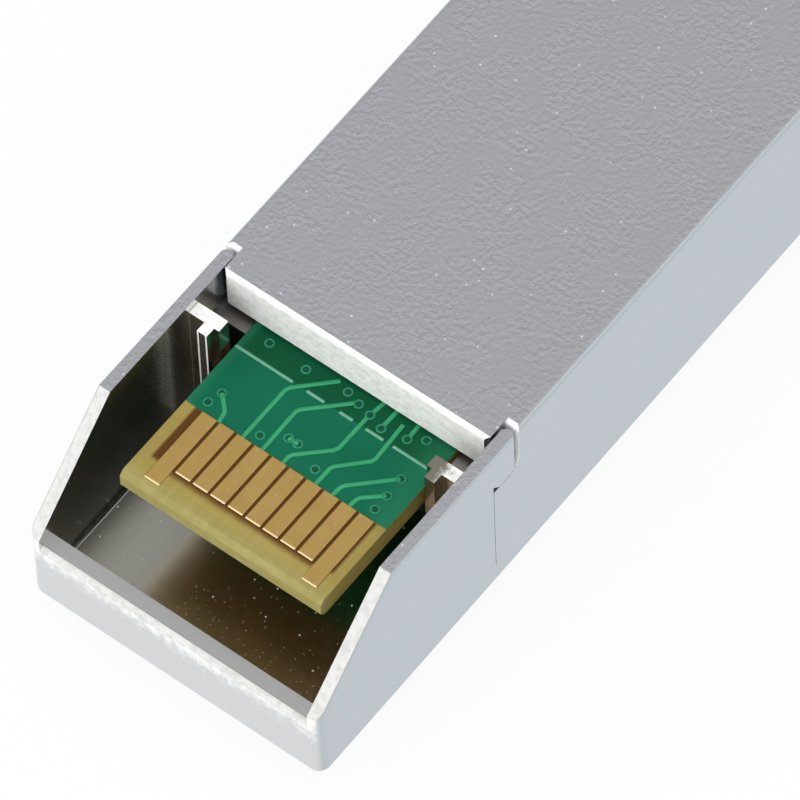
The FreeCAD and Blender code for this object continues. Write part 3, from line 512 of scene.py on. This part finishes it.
finishes = {
    "nickel_plate": cast_nickel(),
    "plain_steel": brushed_steel("plain_steel", (0.56, 0.56, 0.57), "X", 0.26),
    "spring_steel": brushed_steel("spring_steel", (0.66, 0.655, 0.63), "Y", 0.22),
    "green_board": green_board(),
    "gold_plate": gold_plate(),
    "chip_black": moulded_resin("chip_black", (0.012, 0.012, 0.013), 7000.0),
    "capacitor_tan": passive("capacitor_tan", "chip_capacitors", (0.22, 0.13, 0.06), (0.32, 0.20, 0.10)),
    "soft_pad": soft_pad(),
    "white_ceramic": white_ceramic(),
    "amber_film": amber_film(),
    "black_plastic": moulded_resin("black_plastic", (0.014, 0.014, 0.015), 5000.0),
}
resistor_black = passive(
    "resistor_black", "chip_resistors", (0.010, 0.010, 0.011), (0.022, 0.022, 0.024)
)
slot_of = {part["node"]: part["material_slot"] for part in frame["record"]["subparts"]}
for name, node in nodes.items():
    for slot in node.material_slots:
        slot.material = finishes[slot_of[name]]
for slot in nodes["chip_resistors"].material_slots:
    slot.material = resistor_black


def soften(name, width):
    """Welds a node's loose triangles and rolls its sharp edges over, as casting or stamping does."""
    node = nodes[name]
    weld = node.modifiers.new("weld", "WELD")
    weld.merge_threshold = 0.000002
    flat = node.modifiers.new("flat", "DECIMATE")
    flat.decimate_type = "DISSOLVE"
    flat.angle_limit = math.radians(0.5)
    roll = node.modifiers.new("roll", "BEVEL")
    roll.width = width
    roll.segments = 2
    roll.limit_method = "ANGLE"
    roll.angle_limit = math.radians(40)
    roll.use_clamp_overlap = True
    even = node.modifiers.new("even", "WEIGHTED_NORMAL")
    even.keep_sharp = False


# Nodes by the width of their rolled edges, in metres.
ROLLED_EDGES = {
    0.00003: (
        "contacts_latch_side", "contacts_label_side", "driver_chip", "amplifier_chip",
        "controller_chip", "chip_capacitors", "chip_resistors",
    ),
    0.00004: ("fibre_receptacle", "latch_rocker", "release_cam"),
    0.00005: ("bail_frame", "power_inductors"),
    0.00008: ("bail_grip",),
}
for width, names in ROLLED_EDGES.items():
    for name in names:
        soften(name, width)


class Rig:
    """A geometry-nodes tree that is run once on a plain mesh."""

    def __init__(self, name):
        self.tree = bpy.data.node_groups.new(name, "GeometryNodeTree")
        for way in ("INPUT", "OUTPUT"):
            self.tree.interface.new_socket("Geometry", in_out=way, socket_type="NodeSocketGeometry")
        self.start = self.node("NodeGroupInput")
        self.values = {}

    def size(self, name, value):
        """A named input of the tree, in metres."""
        made = self.tree.interface.new_socket(name, in_out="INPUT", socket_type="NodeSocketFloat")
        self.values[made.identifier] = value
        return next(socket for socket in self.start.outputs if socket.identifier == made.identifier)

    def node(self, kind, settings=None, sockets=None):
        """Adds a node: its settings first, then the values or links of its sockets."""
        made = self.tree.nodes.new(kind)
        for name, setting in (settings or {}).items():
            setattr(made, name, setting)
        for name, value in (sockets or {}).items():
            if isinstance(value, bpy.types.NodeSocket):
                self.tree.links.new(value, made.inputs[name])
            else:
                made.inputs[name].default_value = value
        return made

    def rounded_path(self, radius):
        """The source's lines as curves with rounded corners."""
        curve = self.node("GeometryNodeMeshToCurve", None, {"Mesh": self.start.outputs["Geometry"]})
        sockets = {"Curve": curve.outputs[0], "Radius": radius, "Limit Radius": True}
        return self.node("GeometryNodeFilletCurve", None, sockets)

    def sweep(self, path, width, height, caps):
        """A flat section drawn along a path."""
        sockets = {"Width": width, "Height": height}
        profile = self.node("GeometryNodeCurvePrimitiveQuadrilateral", None, sockets)
        sockets = {"Curve": path.outputs[0], "Profile Curve": profile.outputs[0], "Fill Caps": caps}
        return self.node("GeometryNodeCurveToMesh", None, sockets)

    def repeat(self, one):
        """The same shape on every point of the source."""
        sockets = {"Points": self.start.outputs["Geometry"], "Instance": one.outputs[0]}
        return self.node("GeometryNodeInstanceOnPoints", None, sockets)

    def run(self, piece, mesh, material):
        """Closes the tree, runs it on the mesh and returns the result as a plain object."""
        real = self.node("GeometryNodeRealizeInstances", None, {"Geometry": piece.outputs[0]})
        sockets = {"Geometry": real.outputs[0], "Material": material}
        dressed = self.node("GeometryNodeSetMaterial", None, sockets)
        self.node("NodeGroupOutput", None, {"Geometry": dressed.outputs[0]})
        source = bpy.data.objects.new(self.tree.name, mesh)
        bpy.context.scene.collection.objects.link(source)
        modifier = source.modifiers.new("rig", "NODES")
        modifier.node_group = self.tree
        for identifier, value in self.values.items():
            modifier[identifier] = value
        seen = source.evaluated_get(bpy.context.evaluated_depsgraph_get())
        made = bpy.data.meshes.new_from_object(seen)
        source.modifiers.clear()
        source.data = made
        return source


def on_board(x, y):
    """A point on the board's upper face, given in millimetres."""
    return (x * MM, REAR + y * MM, BOARD_TOP)


def paths_mesh(name, paths):
    """Open lines through points."""
    points = []
    edges = []
    for path in paths:
        first = len(points)
        points += path
        edges += [(index, index + 1) for index in range(first, len(points) - 1)]
    mesh = bpy.data.meshes.new(name)
    mesh.from_pydata(points, edges, [])
    return mesh


def spots_mesh(name, spots):
    """Loose points on the board's upper face."""
    mesh = bpy.data.meshes.new(name)
    mesh.from_pydata([on_board(x, y) for x, y in spots], [], [])
    return mesh


def strips(name, paths, width, height, material):
    """Flat strips that follow lines on the board's upper face."""
    rig = Rig(name)
    wide = rig.size("Width", width)
    tall = rig.size("Height", height)
    course = rig.rounded_path(TRACE_BEND)
    lines = [[on_board(x, y) for x, y in path] for path in paths]
    return rig.run(rig.sweep(course, wide, tall, True), paths_mesh(name, lines), material)


def discs(name, spots, radius, height, material):
    """Flat round caps on the board's upper face."""
    rig = Rig(name)
    wide = rig.size("Radius", radius)
    tall = rig.size("Depth", height)
    sockets = {"Vertices": 14, "Radius": wide, "Depth": tall}
    one = rig.node("GeometryNodeMeshCylinder", None, sockets)
    return rig.run(rig.repeat(one), spots_mesh(name, spots), material)


def rings(name, spots, outer, ring, height, material):
    """Round rings set on the board's upper face."""
    rig = Rig(name)
    radius = rig.size("Radius", outer - ring / 2)
    wide = rig.size("Ring", ring)
    tall = rig.size("Height", height)
    circle = rig.node("GeometryNodeCurvePrimitiveCircle", None, {"Resolution": 20, "Radius": radius})
    one = rig.sweep(circle, wide, tall, False)
    return rig.run(rig.repeat(one), spots_mesh(name, spots), material)


# Copper and print on the board: points in millimetres across and from the rear end.
TRACE_START = 6.765
TRACE_STOP = 11.095
SCREEN_LINE = 9.745
VIAS = [
    (-3.65, 10.555), (-1.89, 10.455), (-0.07, 10.605), (0.55, 10.425), (1.17, 10.305), (1.84, 10.085),
    (2.88, 10.285), (3.47, 10.665), (-3.72, 7.835), (-3.89, 7.225), (-1.5, 7.235), (-0.6, 7.765),
    (-0.17, 7.765), (0.99, 7.285), (3.73, 8.825), (3.76, 7.955), (3.76, 7.245),
]
TRACES = [
    [(-1.96, TRACE_START), (-1.96, 9.415), (-0.59, 10.805)],
    [(-1.06, TRACE_START), (-1.09, 8.895), (0.42, 10.385)],
    [(-0.12, TRACE_START), (-0.12, 7.225), (1.12, 8.415), (1.15, 10.145)],
    [(1.38, TRACE_START), (1.39, 7.715), (2.48, 8.845), (2.39, 10.685)],
    [(2.15, TRACE_START), (2.2, 7.315), (3.7, 8.805)],
    [(2.93, TRACE_START), (2.97, 7.255), (3.73, 7.935)],
    [(-3.72, 7.835), (-3.13, 7.265), (-3.05, TRACE_START)],
    [(-0.6, 7.765), (-0.17, 7.765)],
    [(1.19, 10.465), (1.27, TRACE_STOP)],
    [(1.84, 10.245), (1.86, TRACE_STOP)],
    [(2.88, 10.445), (2.87, TRACE_STOP)],
]
SCREEN_SPANS = [(-4.58, -1.95), (-1.3, -0.5), (0.2, 0.8), (1.4, 2.2), (2.65, 4.42)]
screen_lines = [[(left, SCREEN_LINE), (right, SCREEN_LINE)] for left, right in SCREEN_SPANS]

lit_mask = mask_over_copper("mask_over_copper", (0.024, 0.28, 0.115), (0.046, 0.37, 0.165))
via_mask = mask_over_copper("mask_over_via", (0.016, 0.20, 0.10), (0.030, 0.27, 0.14))
dark_mask = mask_over_copper("mask_in_via", (0.001, 0.058, 0.030), (0.002, 0.082, 0.042))
pale_line = mask_over_copper("pale_line", (0.10, 0.34, 0.22), (0.20, 0.46, 0.33))
board_pieces = [
    strips("board_traces", TRACES, width=0.00017, height=0.00003, material=lit_mask),
    strips("board_screen_line", screen_lines, width=0.00012, height=0.00002, material=pale_line),
    rings("board_vias", VIAS, outer=0.0002, ring=0.00007, height=0.00004, material=via_mask),
    discs("board_via_wells", VIAS, radius=0.00013, height=0.00002, material=dark_mask),
]
for piece in board_pieces:
    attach(piece, "module")


def bend_leaf_spring(thickness, foot_length, bend_radius):
    """The latch's leaf spring in one bent strip, drawn as it stands at rest; the real one flattens as
    the rocker presses on its tip.
    """
    low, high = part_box("latch_spring")
    foot = (0.0, high.y, low.z + thickness / 2)
    bend = (0.0, high.y - foot_length, low.z + thickness / 2)
    tip = (0.0, low.y, high.z - thickness / 2)
    rig = Rig("leaf_spring")
    wide = rig.size("Width", high.x - low.x)
    thick = rig.size("Thickness", thickness)
    rounded = rig.rounded_path(bend_radius)
    stations = rig.node("GeometryNodeResampleCurve", None, {"Curve": rounded.outputs[0], "Count": 40})
    upright = rig.node("GeometryNodeSetCurveNormal", {"mode": "Z_UP"}, {"Curve": stations.outputs[0]})
    path = paths_mesh("leaf_spring", [[foot, bend, tip]])
    spring = rig.run(rig.sweep(upright, wide, thick, True), path, finishes["spring_steel"])
    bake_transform(spring)
    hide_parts("latch_spring")


bend_leaf_spring(thickness=0.00009, foot_length=0.002, bend_radius=0.0004)


def white_floor():
    """A wide floor just below the part. Seen directly or mirrored, it is almost plain white."""
    bpy.ops.mesh.primitive_plane_add(size=6.0, location=(0, 0, -0.00002))
    floor = bpy.context.object
    floor.name = "floor"
    f = new_finish("floor_white")
    rays = ("Is Camera Ray", "Is Glossy Ray", "Is Transmission Ray")
    straight, mirrored, through = (f.node("LightPath", output=ray) for ray in rays)
    seen = straight + mirrored + through
    paint = f.node("BsdfDiffuse", None, {"Color": (0.82, 0.82, 0.82, 1.0)})
    glow = f.node("Emission", None, {"Color": WHITE, "Strength": 1.0})
    blend = f.node("MixShader", None, {0: seen * 0.9, 1: paint, 2: glow})
    floor.data.materials.append(f.close("OutputMaterial", blend))


def white_surround():
    """White light from all round, a little stronger low down behind the camera."""
    world = bpy.data.worlds.new("surround")
    bpy.context.scene.world = world
    f = Finish(world)
    straight = f.node("LightPath", output="Is Camera Ray")
    direction = f.node("TexCoord", output="Generated")
    level = f.axis("Z", direction)
    behind = f.ramp(f.axis("Y", direction), -0.2, -0.9) * f.ramp(level, 0.9, 0.3)
    shade = f.ramp(level, 0.0, 1.0, 0.92, 1.0) + 0.2 * behind
    strength = shade + straight * (1.0 - shade)
    f.close("OutputWorld", f.node("Background", None, {"Color": WHITE, "Strength": strength}))


def lamp(name, spot, size, power):
    """A round lamp aimed at the part's rear end."""
    light = bpy.data.lights.new(name, "AREA")
    light.shape = "DISK"
    light.size = size
    light.energy = power
    holder = bpy.data.objects.new(name, light)
    bpy.context.scene.collection.objects.link(holder)
    holder.location = spot
    holder.rotation_euler = (SUBJECT - Vector(spot)).to_track_quat("-Z", "Y").to_euler()


def photograph_camera():
    """Camera fitted to the photograph's edges: angles in degrees, distances in millimetres."""
    azimuth, elevation, roll = (math.radians(a) for a in (39.842, 58.043, -2.647))
    distance, across, up = 423.039, 3.352, 2.829
    focal_pixels = 11630.762
    photo_pixels = 800.0
    back = Vector((
        math.sin(azimuth) * math.cos(elevation),
        -math.cos(azimuth) * math.cos(elevation),
        math.sin(elevation),
    ))
    flat_right = Vector((math.cos(azimuth), math.sin(azimuth), 0.0))
    flat_up = back.cross(flat_right)
    right = flat_right * math.cos(roll) + flat_up * math.sin(roll)
    top = flat_up * math.cos(roll) - flat_right * math.sin(roll)
    eye = SUBJECT + (right * across + top * up + back * distance) * MM
    data = bpy.data.cameras.new("camera")
    data.sensor_width = 36.0
    data.lens = data.sensor_width * focal_pixels / photo_pixels
    data.clip_start = 0.01
    data.clip_end = 20.0
    camera = bpy.data.objects.new("camera", data)
    bpy.context.scene.collection.objects.link(camera)
    turn = Matrix((right, top, back)).transposed().to_4x4()
    camera.matrix_world = Matrix.Translation(eye) @ turn
    bpy.context.scene.camera = camera


white_floor()
white_surround()
lamp("key", spot=(-0.12, -0.58, 0.34), size=1.0, power=2.0)
lamp("fill", spot=(0.35, 0.05, 0.40), size=0.6, power=0.3)
photograph_camera()
bpy.context.scene.view_settings.view_transform = "Standard"
